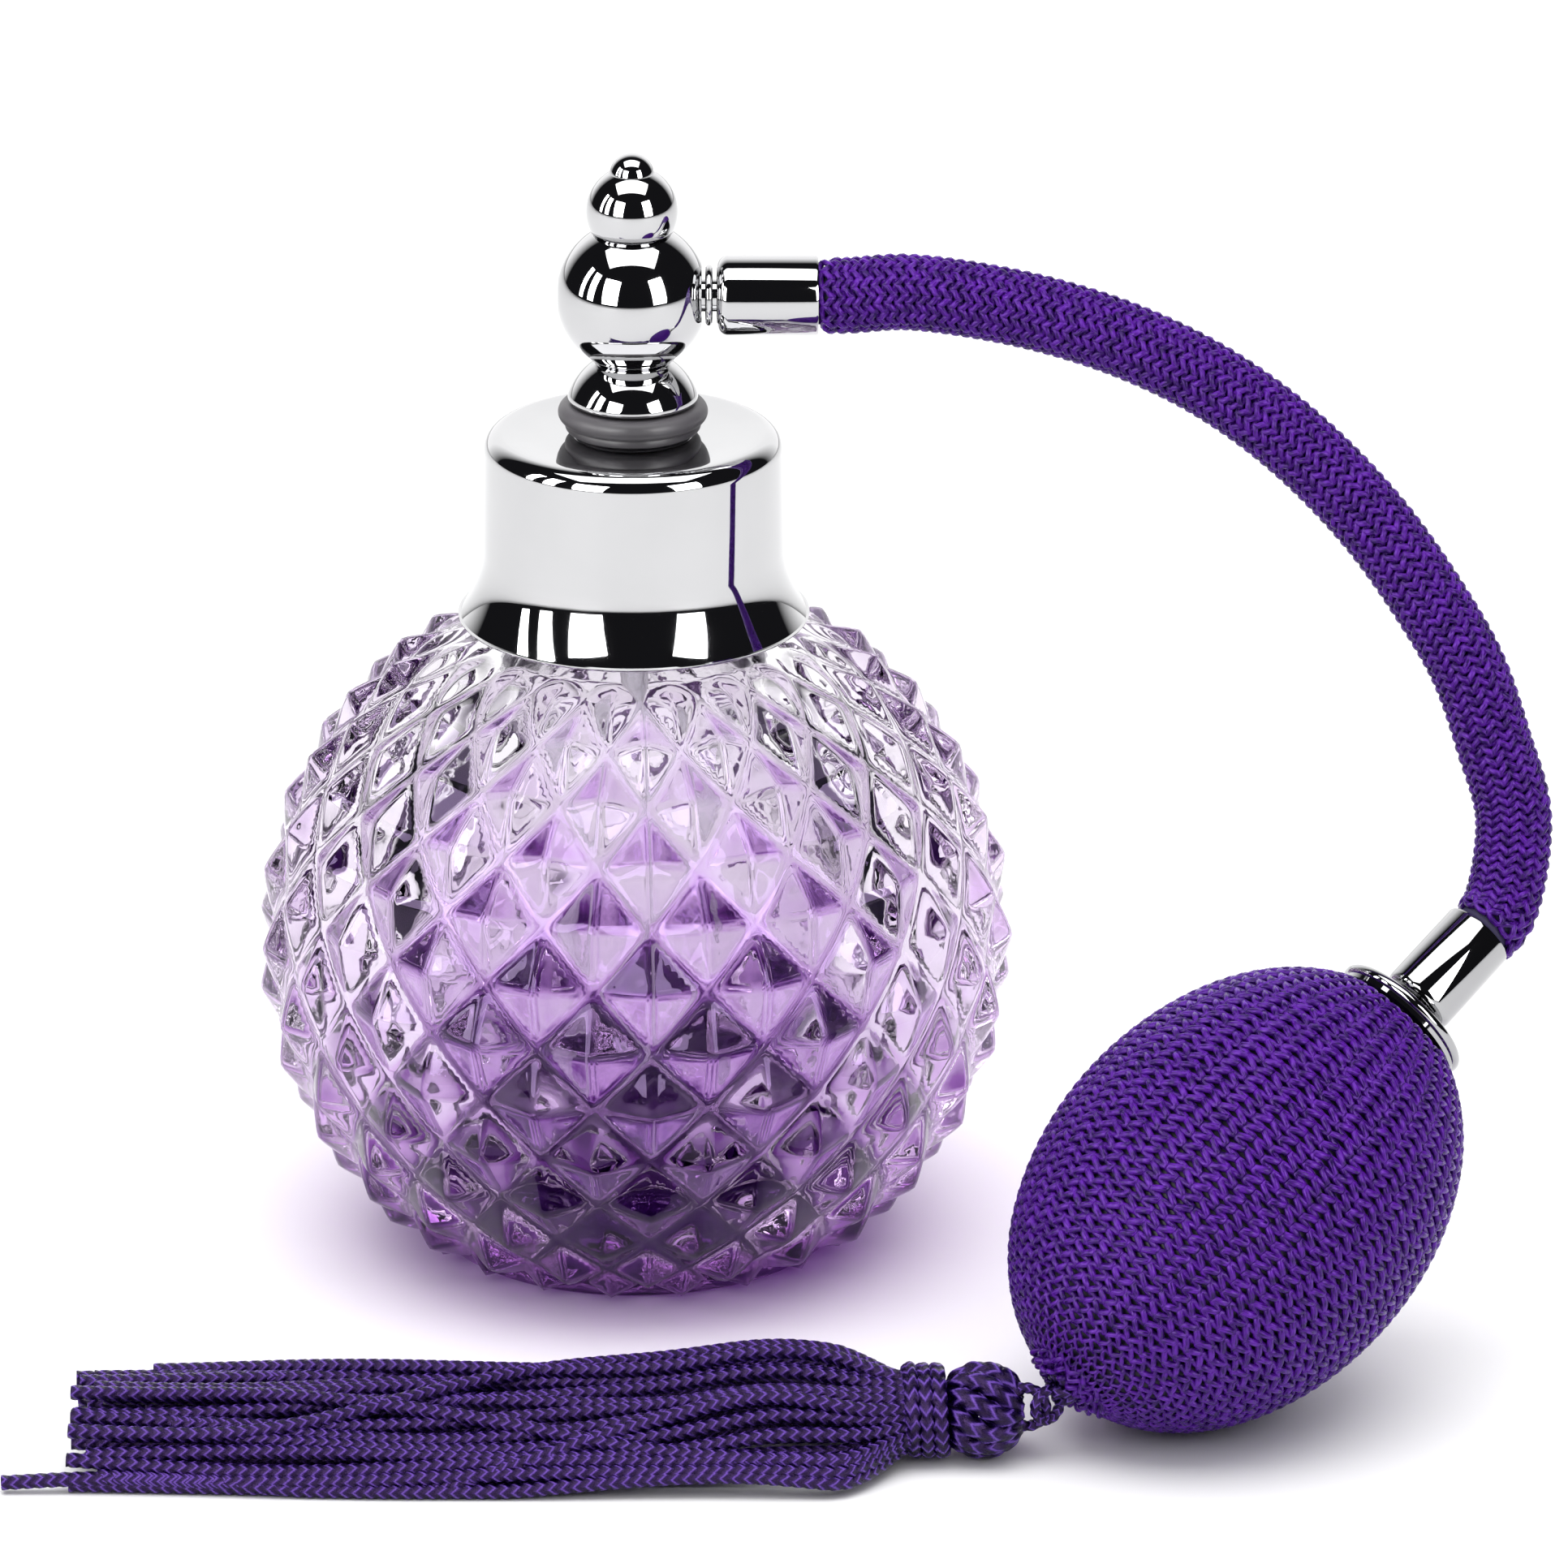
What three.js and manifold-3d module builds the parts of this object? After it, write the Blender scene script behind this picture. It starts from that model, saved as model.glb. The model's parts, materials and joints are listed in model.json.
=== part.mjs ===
// Perfume atomiser: cut-glass bottle, screw closure with a spray head, corded
// air hose, squeeze bulb and tassel. Millimetres, +Z up, bottle axis on Z, the
// flat base on z = 0, and the hose leaving the spray head along +X.

import * as THREE from 'three';
import { mergeVertices } from 'three/addons/utils/BufferGeometryUtils.js';
import Module from 'manifold-3d';

const wasm = await Module();
wasm.setup();

const RUNNING_GAP = 0.3;

const GLASS = {
  tipRadius: 40,
  grooveRadius: 38,
  reliefBackRadius: 37.2,
  wallRadius: 36.5,
  centreZ: 32.8,
  columns: 20,
  rowStep: 9.64,
  lowestRow: -46,
  rows: 12,
  columnTurn: 3.2,
  shoulderRadius: 15,
  neckRadius: 9.6,
  neckStartZ: 69.2,
  neckTopZ: 84,
  boreRadius: 7,
  cavityRadius: 29.5,
  cavityCentreZ: 34.6,
};

const COLLAR = {
  flareRadius: 18.3,
  wallRadius: 15.7,
  rimRadius: 15.5,
  bottomZ: 68.6,
  flareHeight: 7.4,
  rimZ: 88.7,
  dishDepth: 1.5,
  wall: 0.8,
  plate: 1.2,
  holeRadius: 3.4,
  threadDepth: 1.3,
};

const HEAD = {
  ballRadius: 7.9,
  ballZ: 103.4,
  stemRadius: 2.6,
  stemBore: 1,
  inletRadius: 1.7,
  inletBore: 0.9,
  sideBore: 2,
  finialRadius: 4.75,
  finialZ: 112.5,
  tipRadius: 2.4,
};

const HOSE = { sleeveRadius: 3.8, sleeveBore: 3, tubeRadius: 2.7, tubeBore: 2 };

const FERRULE = { radius: 4.15, lowerRadius: 3.9, bore: 3, startX: 8.7, length: 10.5 };

const BULB = { radius: 20.1, halfLength: 27, cover: 1.2, rubber: 1.5, panelRadius: 9 };

// The bulb lies with its tail on the table and its neck pointing up to the hose.
const bulbAxis = new THREE.Vector3(0.66, 0.5, 0.56).normalize();
const bulbRestZ = Math.hypot(
  BULB.halfLength * bulbAxis.z,
  BULB.radius * Math.hypot(bulbAxis.x, bulbAxis.y),
);
const bulbCentre = new THREE.Vector3(61.6, -48.1, bulbRestZ);

// ---------------------------------------------------------------- geometry

function degrees(angle) {
  return (angle * Math.PI) / 180;
}

function weld(geometry) {
  const bare = geometry.clone();
  bare.deleteAttribute('normal');
  bare.deleteAttribute('uv');
  const merged = mergeVertices(bare, 1e-4);
  const source = merged.index.array;
  const kept = [];
  for (let i = 0; i < source.length; i += 3) {
    const [a, b, c] = source.slice(i, i + 3);
    if (a !== b && b !== c && c !== a) kept.push(a, b, c);
  }
  merged.setIndex(kept);
  return merged;
}

function signedVolume(geometry) {
  const { index, attributes: { position } } = geometry;
  const corners = [new THREE.Vector3(), new THREE.Vector3(), new THREE.Vector3()];
  let total = 0;
  for (let i = 0; i < index.count; i += 3) {
    corners.forEach((corner, k) => corner.fromBufferAttribute(position, index.getX(i + k)));
    total += corners[0].dot(corners[1].clone().cross(corners[2])) / 6;
  }
  return total;
}

function facingOut(geometry) {
  const welded = weld(geometry);
  if (signedVolume(welded) < 0) welded.setIndex(Array.from(welded.index.array).reverse());
  return welded;
}

// A profile of [radius, height] points turned about Z. It starts and ends on
// the axis, or its last point joins its first.
function turned(profile, segments = 26) {
  const points = profile.map(([radius, height]) => new THREE.Vector2(radius, height));
  const [first, last] = [points[0], points[points.length - 1]];
  if (first.x > 1e-6 || last.x > 1e-6) points.push(first.clone());
  const geometry = new THREE.LatheGeometry(points, segments);
  geometry.rotateX(Math.PI / 2);
  return facingOut(geometry);
}

function arc(centreRadius, centreHeight, radius, from, to, steps) {
  return Array.from({ length: steps + 1 }, (_, i) => {
    const angle = degrees(from + ((to - from) * i) / steps);
    return [centreRadius + radius * Math.cos(angle), centreHeight + radius * Math.sin(angle)];
  });
}

function ring(outer, inner, low, high, segments = 24) {
  return turned([[inner, low], [outer, low], [outer, high], [inner, high]], segments);
}

function rod(radius, low, high, segments = 24) {
  return turned([[0, low], [radius, low], [radius, high], [0, high]], segments);
}

// The closed surface through a list of rings with the same number of points,
// capped flat at both ends, or uncapped where its last ring is its first again.
// splitOther says which squares are cut along their other diagonal.
function lofted(rings, splitOther = () => false, capped = true) {
  const count = rings[0].length;
  const positions = rings.flat().flatMap((point) => point.toArray());
  const faces = [];
  for (let r = 0; r + 1 < rings.length; r += 1) {
    for (let i = 0; i < count; i += 1) {
      const [a, b] = [r * count + i, r * count + ((i + 1) % count)];
      const [c, d] = [b + count, a + count];
      faces.push(...(splitOther(r, i) ? [a, b, d, b, c, d] : [a, b, c, a, c, d]));
    }
  }
  const caps = capped ? [[0, true], [(rings.length - 1) * count, false]] : [];
  for (const [start, flip] of caps) {
    for (let i = 1; i + 1 < count; i += 1) {
      faces.push(start, ...(flip ? [start + i + 1, start + i] : [start + i, start + i + 1]));
    }
  }
  const geometry = new THREE.BufferGeometry();
  geometry.setAttribute('position', new THREE.Float32BufferAttribute(positions, 3));
  geometry.setIndex(faces);
  return facingOut(geometry);
}

function toManifold(geometry) {
  return new wasm.Manifold(new wasm.Mesh({
    numProp: 3,
    vertProperties: new Float32Array(geometry.attributes.position.array),
    triVerts: new Uint32Array(geometry.index.array),
  }));
}

function fromManifold(solid) {
  const mesh = solid.getMesh();
  const geometry = new THREE.BufferGeometry();
  geometry.setAttribute('position', new THREE.Float32BufferAttribute(mesh.vertProperties, 3));
  geometry.setIndex(Array.from(mesh.triVerts));
  return geometry;
}

function cut(geometry, ...tools) {
  return fromManifold(tools.reduce((solid, tool) => solid.subtract(toManifold(tool)), toManifold(geometry)));
}

function common(geometry, tool) {
  return fromManifold(toManifold(geometry).intersect(toManifold(tool)));
}

// Turns a part made along +Z so that it runs along +X at the spray head's height.
function alongX(geometry) {
  return geometry.rotateY(Math.PI / 2).translate(0, 0, HEAD.ballZ);
}

// Moves a part made in the bulb's own frame, +Z along its axis and the origin at
// its centre, to where the bulb lies. Its +X is level.
function onBulb(geometry) {
  const level = new THREE.Vector3(bulbAxis.y, -bulbAxis.x, 0).normalize();
  const third = new THREE.Vector3().crossVectors(bulbAxis, level);
  const frame = new THREE.Matrix4().makeBasis(level, third, bulbAxis).setPosition(bulbCentre);
  return geometry.applyMatrix4(frame);
}

function alongBulb(distance) {
  return bulbCentre.clone().addScaledVector(bulbAxis, distance);
}

// ---------------------------------------------------------------- bottle

// One ring of the relief: points alternate between a diamond's tip and the
// crossing of two grooves, and each row is shifted by one point from the last.
function reliefRing(row) {
  const latitude = degrees(GLASS.lowestRow + row * GLASS.rowStep);
  const count = 2 * GLASS.columns;
  return Array.from({ length: count }, (_, i) => {
    const radius = (i + row) % 2 === 0 ? GLASS.tipRadius : GLASS.grooveRadius;
    const turn = (2 * Math.PI * i) / count + degrees(GLASS.columnTurn);
    const level = radius * Math.cos(latitude);
    const height = GLASS.centreZ + radius * Math.sin(latitude);
    return new THREE.Vector3(level * Math.cos(turn), level * Math.sin(turn), height);
  });
}

function reliefBackRing(row) {
  const latitude = degrees(GLASS.lowestRow + row * GLASS.rowStep);
  const level = GLASS.reliefBackRadius * Math.cos(latitude);
  const height = GLASS.centreZ + GLASS.reliefBackRadius * Math.sin(latitude);
  const count = 2 * GLASS.columns;
  return Array.from({ length: count }, (_, i) => {
    const turn = (2 * Math.PI * i) / count + degrees(GLASS.columnTurn);
    return new THREE.Vector3(level * Math.cos(turn), level * Math.sin(turn), height);
  });
}

// The pressed diamonds, as a skin round the bottle's plain wall.
function diamondRelief() {
  const rows = Array.from({ length: GLASS.rows }, (_, row) => row);
  const front = rows.map(reliefRing);
  const back = rows.map(reliefBackRing).reverse();
  // The split runs from crossing to crossing, along the bottom of a groove.
  return lofted([...front, ...back, front[0]], (r, i) => (i + r) % 2 !== 0, false);
}

// The plain wall of the bottle, from its base to its shoulder, round the cavity.
function bottleGlass() {
  const { boreRadius, cavityRadius, cavityCentreZ, shoulderRadius } = GLASS;
  const shoulderZ = COLLAR.bottomZ - 0.6;
  const mouthAngle = (Math.acos(boreRadius / cavityRadius) * 180) / Math.PI;
  return turned([
    [0, 0],
    [21, 0],
    [22.4, 0.5],
    ...arc(0, GLASS.centreZ, GLASS.wallRadius, -52, 60, 9),
    [shoulderRadius, shoulderZ],
    [GLASS.neckRadius + 0.6, GLASS.neckStartZ],
    [boreRadius, GLASS.neckStartZ],
    ...arc(0, cavityCentreZ, cavityRadius, mouthAngle, -90, 12),
  ], 24);
}

// The neck that the closure screws on. It stands on the shoulder.
function bottleNeck() {
  const { boreRadius, neckRadius, neckStartZ, neckTopZ } = GLASS;
  return turned([
    [boreRadius, neckStartZ],
    [neckRadius, neckStartZ],
    [neckRadius, neckTopZ - 0.8],
    [neckRadius - 0.8, neckTopZ],
    [boreRadius + 0.5, neckTopZ],
    [boreRadius, neckTopZ - 0.5],
  ], 24);
}

// ---------------------------------------------------------------- closure

function neckGasket() {
  return ring(9.3, 4.4, GLASS.neckTopZ + 0.2, GLASS.neckTopZ + 1);
}

// Half of the collar's outline: the flared skirt, set in by an offset, from its
// foot to where it meets the straight wall.
function flare(offset) {
  const { flareRadius, wallRadius, bottomZ, flareHeight } = COLLAR;
  return Array.from({ length: 6 }, (_, i) => {
    const up = i / 5;
    const radius = wallRadius + (flareRadius - wallRadius) * (1 - up) ** 2 - offset;
    return [radius, bottomZ + flareHeight * up];
  });
}

function collarShell() {
  const { rimRadius, rimZ, dishDepth, wall, plate, holeRadius } = COLLAR;
  const plateZ = rimZ - dishDepth;
  const rim = arc(rimRadius - 1.2, rimZ - 1.2, 1.2, 0, 100, 5);
  return turned([
    ...flare(0),
    ...rim,
    [rimRadius - 3, plateZ + 0.1],
    [holeRadius, plateZ],
    [holeRadius, plateZ - plate],
    [rimRadius - wall, plateZ - plate],
    ...flare(wall).reverse(),
  ], 40);
}

const linerTopZ = COLLAR.rimZ - COLLAR.dishDepth - COLLAR.plate - 0.1;

// The moulded liner that backs the collar's skirt and screws on the glass neck.
// The gap between liner and neck is as deep as the thread that fills it.
function threadedInsert() {
  const backing = COLLAR.wall + RUNNING_GAP;
  const bore = GLASS.neckRadius + COLLAR.threadDepth;
  const outside = COLLAR.rimRadius - backing;
  return turned([
    [bore, GLASS.neckStartZ + 1],
    ...flare(backing).slice(2),
    [outside, linerTopZ - 1],
    [bore, linerTopZ - 1],
  ]);
}

// The disc across the top of that liner, which presses on the neck's gasket.
function linerDisc() {
  const radius = COLLAR.rimRadius - COLLAR.wall - RUNNING_GAP;
  return ring(radius, COLLAR.holeRadius, linerTopZ - 0.7, linerTopZ);
}

function collarBoss() {
  const low = COLLAR.rimZ - COLLAR.dishDepth + RUNNING_GAP;
  return turned([[3.1, low], [6.4, low], [6.4, low + 0.7], [6, low + 1.1], [3.1, low + 1.1]]);
}

// The soft ring between closure and head: a small step under a fat one.
function sealRing() {
  const low = 88.9;
  return turned([
    [3.1, low],
    ...arc(6.6, low + 0.5, 0.5, -90, 40, 4),
    ...arc(6.8, low + 1.9, 1, -60, 90, 6),
    [3.1, low + 2.9],
  ]);
}

// ---------------------------------------------------------------- spray head

function lowerDome() {
  return turned([
    [3.1, 92.1],
    [6.7, 92.1],
    [6.75, 92.8],
    [6.1, 94.2],
    [4.9, 95.1],
    [4, 95.6],
    [4, 96.5],
    [3.1, 96.5],
  ]);
}

function headBall() {
  const { ballRadius, ballZ, stemRadius, sideBore } = HEAD;
  const ball = turned([
    [0, ballZ + ballRadius * Math.sin(degrees(-56))],
    ...arc(0, ballZ, ballRadius, -56, 56, 14),
    [0, ballZ + ballRadius * Math.sin(degrees(56))],
  ], 36);
  const stemBore = rod(stemRadius + RUNNING_GAP, ballZ - 8, ballZ - 2.4, 24);
  const finialBore = rod(1.6, ballZ + 3.2, ballZ + 8, 20);
  const inletBore = alongX(rod(sideBore, 2.2, 9, 20));
  const inletSeat = alongX(rod(3.4, 7.1, 9, 24));
  const nozzleBore = alongX(rod(1.9, -9, -3.2, 20));
  const cross = alongX(rod(0.8, -4, 3, 12));
  const riser = rod(0.8, ballZ - 3, ballZ, 12);
  return cut(ball, stemBore, finialBore, inletBore, inletSeat, nozzleBore, cross, riser);
}

// The spray hole's own insert, level with the ball's surface.
function sprayNozzle() {
  const nozzle = turned([
    [0.25, -7.7],
    [0.6, -7.3],
    [1.6, -7.3],
    [1.6, -3.6],
    [0.7, -3.6],
    [0.25, -5],
  ], 20);
  return alongX(nozzle);
}

function siphonStem() {
  return ring(HEAD.stemRadius, HEAD.stemBore + 0.7, 81, HEAD.ballZ - 3, 28);
}

function dipTube() {
  return ring(1.4, 0.8, 11, 93, 20);
}

function finialBall() {
  const { finialRadius, finialZ } = HEAD;
  return turned([
    [0, finialZ + finialRadius * Math.sin(degrees(-26))],
    ...arc(0, finialZ, finialRadius, -26, 51, 9),
    [0, finialZ + finialRadius * Math.sin(degrees(51))],
  ], 36);
}

function finialTip() {
  const low = HEAD.finialZ + HEAD.finialRadius * Math.sin(degrees(51)) + 0.1;
  return turned([[0, low], ...arc(0, low, HEAD.tipRadius, 0, 90, 6)], 28);
}

function finialStud() {
  return rod(1.3, HEAD.ballZ + 3.5, HEAD.finialZ - 2.4, 20);
}

// ---------------------------------------------------------------- air hose

function airInlet() {
  const { inletRadius, inletBore } = HEAD;
  return alongX(turned([
    [inletBore, 3],
    [inletRadius, 3],
    [inletRadius, 7.5],
    [3.1, 7.5],
    [3.1, 8.3],
    [inletRadius, 8.3],
    [inletRadius, 17],
    [inletBore, 17],
  ], 28));
}

// A metal cup crimped over the hose end, rounded where it meets its neighbour.
function ferrule(radius) {
  return turned([
    [HOSE.tubeBore, 0],
    ...arc(radius - 1.2, 1.2, 1.2, -90, 0, 4),
    [radius, FERRULE.length],
    [FERRULE.bore, FERRULE.length],
    [FERRULE.bore, 1.3],
    [HOSE.tubeBore, 1.3],
  ], 32);
}

function upperFerrule() {
  return alongX(ferrule(FERRULE.radius).translate(0, 0, FERRULE.startX));
}

function lowerFerrule() {
  return onBulb(ferrule(FERRULE.lowerRadius).translate(0, 0, BULB.halfLength + 0.8));
}

// The hose's centre line: level out of the head, over in an arch, then down and
// towards the front to the bulb's neck.
function hoseRoute() {
  const start = FERRULE.startX + FERRULE.length + RUNNING_GAP;
  const end = BULB.halfLength + 0.8 + FERRULE.length + RUNNING_GAP;
  const middle = [
    [28, -0.4, 103.9],
    [35.2, -1.2, 103.3],
    [43.5, -2.6, 101.9],
    [51.8, -4.5, 99.6],
    [60.1, -6.8, 96],
    [68.3, -9.8, 90.6],
    [76.5, -13.3, 82.8],
    [83.5, -16.9, 73.3],
    [86.1, -18.6, 68.7],
    [88.5, -20.6, 62],
    [90.6, -23.1, 54.5],
  ];
  return [
    new THREE.Vector3(start, 0, HEAD.ballZ),
    new THREE.Vector3(start + 3, 0, HEAD.ballZ),
    ...middle.map((point) => new THREE.Vector3(...point)),
    alongBulb(end + 3),
    alongBulb(end),
  ];
}

function hollowHose(points, outer, inner, steps) {
  const section = new THREE.Shape();
  section.absarc(0, 0, outer, 0, 2 * Math.PI);
  const bore = new THREE.Path();
  bore.absarc(0, 0, inner, 0, 2 * Math.PI);
  section.holes.push(bore);
  return facingOut(new THREE.ExtrudeGeometry(section, {
    steps,
    curveSegments: 6,
    bevelEnabled: false,
    extrudePath: new THREE.CatmullRomCurve3(points, false, 'centripetal'),
  }));
}

function hoseSleeve() {
  return hollowHose(hoseRoute(), HOSE.sleeveRadius, HOSE.sleeveBore, 30);
}

// The rubber tube runs on past the sleeve, into both ferrules.
function hoseTube() {
  const route = [
    new THREE.Vector3(FERRULE.startX + 1.6, 0, HEAD.ballZ),
    new THREE.Vector3(FERRULE.startX + 6, 0, HEAD.ballZ),
    ...hoseRoute(),
    alongBulb(BULB.halfLength + 6),
    alongBulb(BULB.halfLength + 2.4),
  ];
  return hollowHose(route, HOSE.tubeRadius, HOSE.tubeBore, 36);
}

// ---------------------------------------------------------------- bulb

// The whole egg, shrunk by an inset on every side.
function egg(inset, segments) {
  const [radius, half] = [BULB.radius - inset, BULB.halfLength - inset];
  const outline = Array.from({ length: 16 }, (_, i) => {
    const angle = degrees(-90 + 12 * i);
    return [radius * Math.cos(angle), half * Math.sin(angle)];
  });
  return turned(outline, segments);
}

const bulbNeckZ = BULB.halfLength - 2.3;

// A wall of the bulb between two insets, open at the neck.
function eggWall(outerInset, innerInset) {
  const neckCut = rod(9, bulbNeckZ, bulbNeckZ + 6);
  const neckHole = rod(4.2, 12, bulbNeckZ + 3);
  return cut(egg(outerInset, 30), egg(innerInset, 30), neckCut, neckHole);
}

function panelTool(side, radius) {
  return rod(radius, 8, BULB.radius + 5, 24).rotateY((side * Math.PI) / 2);
}

function panelHoles() {
  return [1, -1].map((side) => panelTool(side, BULB.panelRadius + RUNNING_GAP));
}

function bulbCover() {
  return onBulb(cut(eggWall(0, BULB.cover), ...panelHoles()));
}

function bulbRubber() {
  const outer = BULB.cover + RUNNING_GAP;
  return onBulb(cut(eggWall(outer, outer + BULB.rubber), ...panelHoles()));
}

// One side of the bulb's wall, pressed in when the bulb is squeezed.
function squeezePanel(side) {
  const wall = eggWall(0, BULB.cover + BULB.rubber + RUNNING_GAP);
  return onBulb(common(wall, panelTool(side, BULB.panelRadius)));
}

function bulbFlange() {
  const low = BULB.halfLength - 2;
  return onBulb(turned([
    [HOSE.tubeBore, low],
    [7.2, low],
    ...arc(6.9, low + 1.1, 0.7, -60, 90, 5),
    [HOSE.tubeBore, low + 2.5],
  ], 36));
}

function neckBarb() {
  const { inletRadius, inletBore } = HEAD;
  return onBulb(ring(inletRadius, inletBore, BULB.halfLength - 2.2, BULB.halfLength + 9, 20));
}

// A small cage with a hole at each end, in which a loose disc opens and shuts.
function valveCage({ low, radius, height }) {
  const wall = 1;
  return onBulb(turned([
    [1, low],
    [radius, low],
    [radius, low + height],
    [1, low + height],
    [1, low + height - wall],
    [radius - wall, low + height - wall],
    [radius - wall, low + wall],
    [1, low + wall],
  ], 16));
}

function valveDisc({ low, radius }) {
  return onBulb(rod(radius - 1.4, low + 1.05, low + 1.65, 20));
}

const OUTLET_VALVE = { low: BULB.halfLength - 9.6, radius: 3.8, height: 7 };
const INTAKE_VALVE = { low: -BULB.halfLength + 5, radius: 3.2, height: 5 };

// ---------------------------------------------------------------- tassel

const EYE = { radius: 1.5, cord: 0.45, drop: 2.3 };

const TASSEL = {
  loopRadius: 2.3,
  loopCord: 0.45,
  headHalfLength: 3.6,
  headRadius: 4.9,
  bindingRadius: 4.95,
  bindingBore: 3.9,
  wraps: 3,
  wrapPitch: 1.45,
};

const eyeCentre = alongBulb(-BULB.halfLength - EYE.drop);
const headCentre = new THREE.Vector3(eyeCentre.x - 6.1, eyeCentre.y + 1.2, 5.1);
const towardsHead = headCentre.clone().sub(eyeCentre).normalize();

// The eye of cord at the bulb's tail, in the plane of the bulb's axis.
function endEye() {
  const eye = facingOut(new THREE.TorusGeometry(EYE.radius, EYE.cord, 8, 18));
  eye.rotateX(Math.PI / 2);
  return onBulb(eye.translate(0, 0, -BULB.halfLength - EYE.drop));
}

// The upright loop of cord linked through that eye.
function tasselLoop() {
  const loop = facingOut(new THREE.TorusGeometry(TASSEL.loopRadius, TASSEL.loopCord, 8, 16));
  const across = new THREE.Vector3(towardsHead.y, -towardsHead.x, 0).normalize();
  const upright = new THREE.Vector3().crossVectors(across, towardsHead);
  const centre = eyeCentre.clone().addScaledVector(towardsHead, TASSEL.loopRadius);
  const frame = new THREE.Matrix4().makeBasis(towardsHead, upright, across).setPosition(centre);
  return facingOut(loop.applyMatrix4(frame));
}

// A flattened ball, hollowed where the loop comes out of it.
function tasselHead() {
  const { headHalfLength, headRadius } = TASSEL;
  const outline = Array.from({ length: 13 }, (_, i) => {
    const angle = degrees(-90 + 15 * i);
    return [headRadius * Math.cos(angle), headHalfLength * Math.sin(angle)];
  });
  const hollow = rod(3.1, 0.7, headHalfLength + 1);
  return cut(turned(outline, 24), hollow).rotateY(Math.PI / 2).translate(...headCentre.toArray());
}

const bindingEndX = headCentre.x - TASSEL.headHalfLength - RUNNING_GAP;
const bindingStartX = bindingEndX - TASSEL.wraps * TASSEL.wrapPitch;

// Turns of cord side by side round the necks of the strands.
function tasselBinding() {
  const { wraps, wrapPitch, bindingRadius, bindingBore } = TASSEL;
  const turns = Array.from({ length: wraps }, (_, i) => {
    const middle = (i + 0.5) * wrapPitch;
    return arc(bindingRadius - wrapPitch / 2, middle, wrapPitch / 2, -80, 80, 4);
  });
  const length = wraps * wrapPitch;
  const binding = turned([[bindingBore, 0], ...turns.flat(), [bindingBore, length]], 28);
  return binding.rotateY(Math.PI / 2).translate(bindingStartX, headCentre.y, headCentre.z);
}

// The strands as one soft bundle: round in the binding, then spread flat.
function tasselSkirt() {
  const [necked, spread] = [{ half: 3.6, height: 7.2 }, { half: 13, height: 7.6 }];
  const sideways = 1.6;
  const endX = -57;
  const rings = [bindingEndX, bindingStartX - 0.6, 19, 8, -5, -25, -45, endX].map((x, i) => {
    const spreading = [0, 0, 0.4, 0.85, 1, 1, 0.95, 0.9][i];
    const half = necked.half + (spread.half - necked.half) * spreading;
    const height = necked.height + (spread.height - necked.height) * spreading;
    const middleZ = i < 2 ? headCentre.z : height / 2 + 0.1;
    return Array.from({ length: 16 }, (_unused, k) => {
      const angle = (2 * Math.PI * k) / 16;
      return new THREE.Vector3(
        x,
        headCentre.y + sideways * spreading + half * Math.cos(angle),
        middleZ + (height / 2) * Math.sin(angle),
      );
    });
  });
  return lofted(rings);
}

// ---------------------------------------------------------------- assembly

const FINISH = {
  chrome: { color: 0xd8d8dc, metalness: 1, roughness: 0.08 },
  glass: { color: 0x6a3fa8, metalness: 0, roughness: 0.05, transparent: true, opacity: 0.45 },
  clearPlastic: { color: 0xe8e8ea, metalness: 0, roughness: 0.3 },
  darkRubber: { color: 0x2e2e31, metalness: 0, roughness: 0.6 },
  greyRubber: { color: 0x6d6b72, metalness: 0, roughness: 0.6 },
  knit: { color: 0x3d1492, metalness: 0, roughness: 0.75 },
  cord: { color: 0x2d1470, metalness: 0, roughness: 0.6 },
  brass: { color: 0xb08d4a, metalness: 1, roughness: 0.3 },
};

const PARTS = [
  ['bottle_glass', bottleGlass, 'glass'],
  ['bottle_neck', bottleNeck, 'glass'],
  ['diamond_relief', diamondRelief, 'glass'],
  ['neck_gasket', neckGasket, 'clearPlastic'],
  ['collar_shell', collarShell, 'chrome'],
  ['threaded_insert', threadedInsert, 'clearPlastic'],
  ['liner_disc', linerDisc, 'clearPlastic'],
  ['collar_boss', collarBoss, 'chrome'],
  ['seal_ring', sealRing, 'darkRubber'],
  ['lower_dome', lowerDome, 'chrome'],
  ['head_ball', headBall, 'chrome'],
  ['spray_nozzle', sprayNozzle, 'brass'],
  ['siphon_stem', siphonStem, 'brass'],
  ['dip_tube', dipTube, 'clearPlastic'],
  ['finial_ball', finialBall, 'chrome'],
  ['finial_tip', finialTip, 'chrome'],
  ['finial_stud', finialStud, 'brass'],
  ['air_inlet', airInlet, 'chrome'],
  ['upper_ferrule', upperFerrule, 'chrome'],
  ['hose_tube', hoseTube, 'greyRubber'],
  ['hose_sleeve', hoseSleeve, 'knit'],
  ['lower_ferrule', lowerFerrule, 'chrome'],
  ['neck_barb', neckBarb, 'brass'],
  ['bulb_flange', bulbFlange, 'chrome'],
  ['bulb_cover', bulbCover, 'knit'],
  ['bulb_rubber', bulbRubber, 'greyRubber'],
  ['thumb_panel', () => squeezePanel(1), 'knit'],
  ['finger_panel', () => squeezePanel(-1), 'knit'],
  ['outlet_valve_cage', () => valveCage(OUTLET_VALVE), 'brass'],
  ['outlet_valve_disc', () => valveDisc(OUTLET_VALVE), 'clearPlastic'],
  ['intake_valve_cage', () => valveCage(INTAKE_VALVE), 'brass'],
  ['intake_valve_disc', () => valveDisc(INTAKE_VALVE), 'clearPlastic'],
  ['end_eye', endEye, 'cord'],
  ['tassel_loop', tasselLoop, 'cord'],
  ['tassel_head', tasselHead, 'cord'],
  ['tassel_binding', tasselBinding, 'cord'],
  ['tassel_skirt', tasselSkirt, 'cord'],
];

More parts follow.
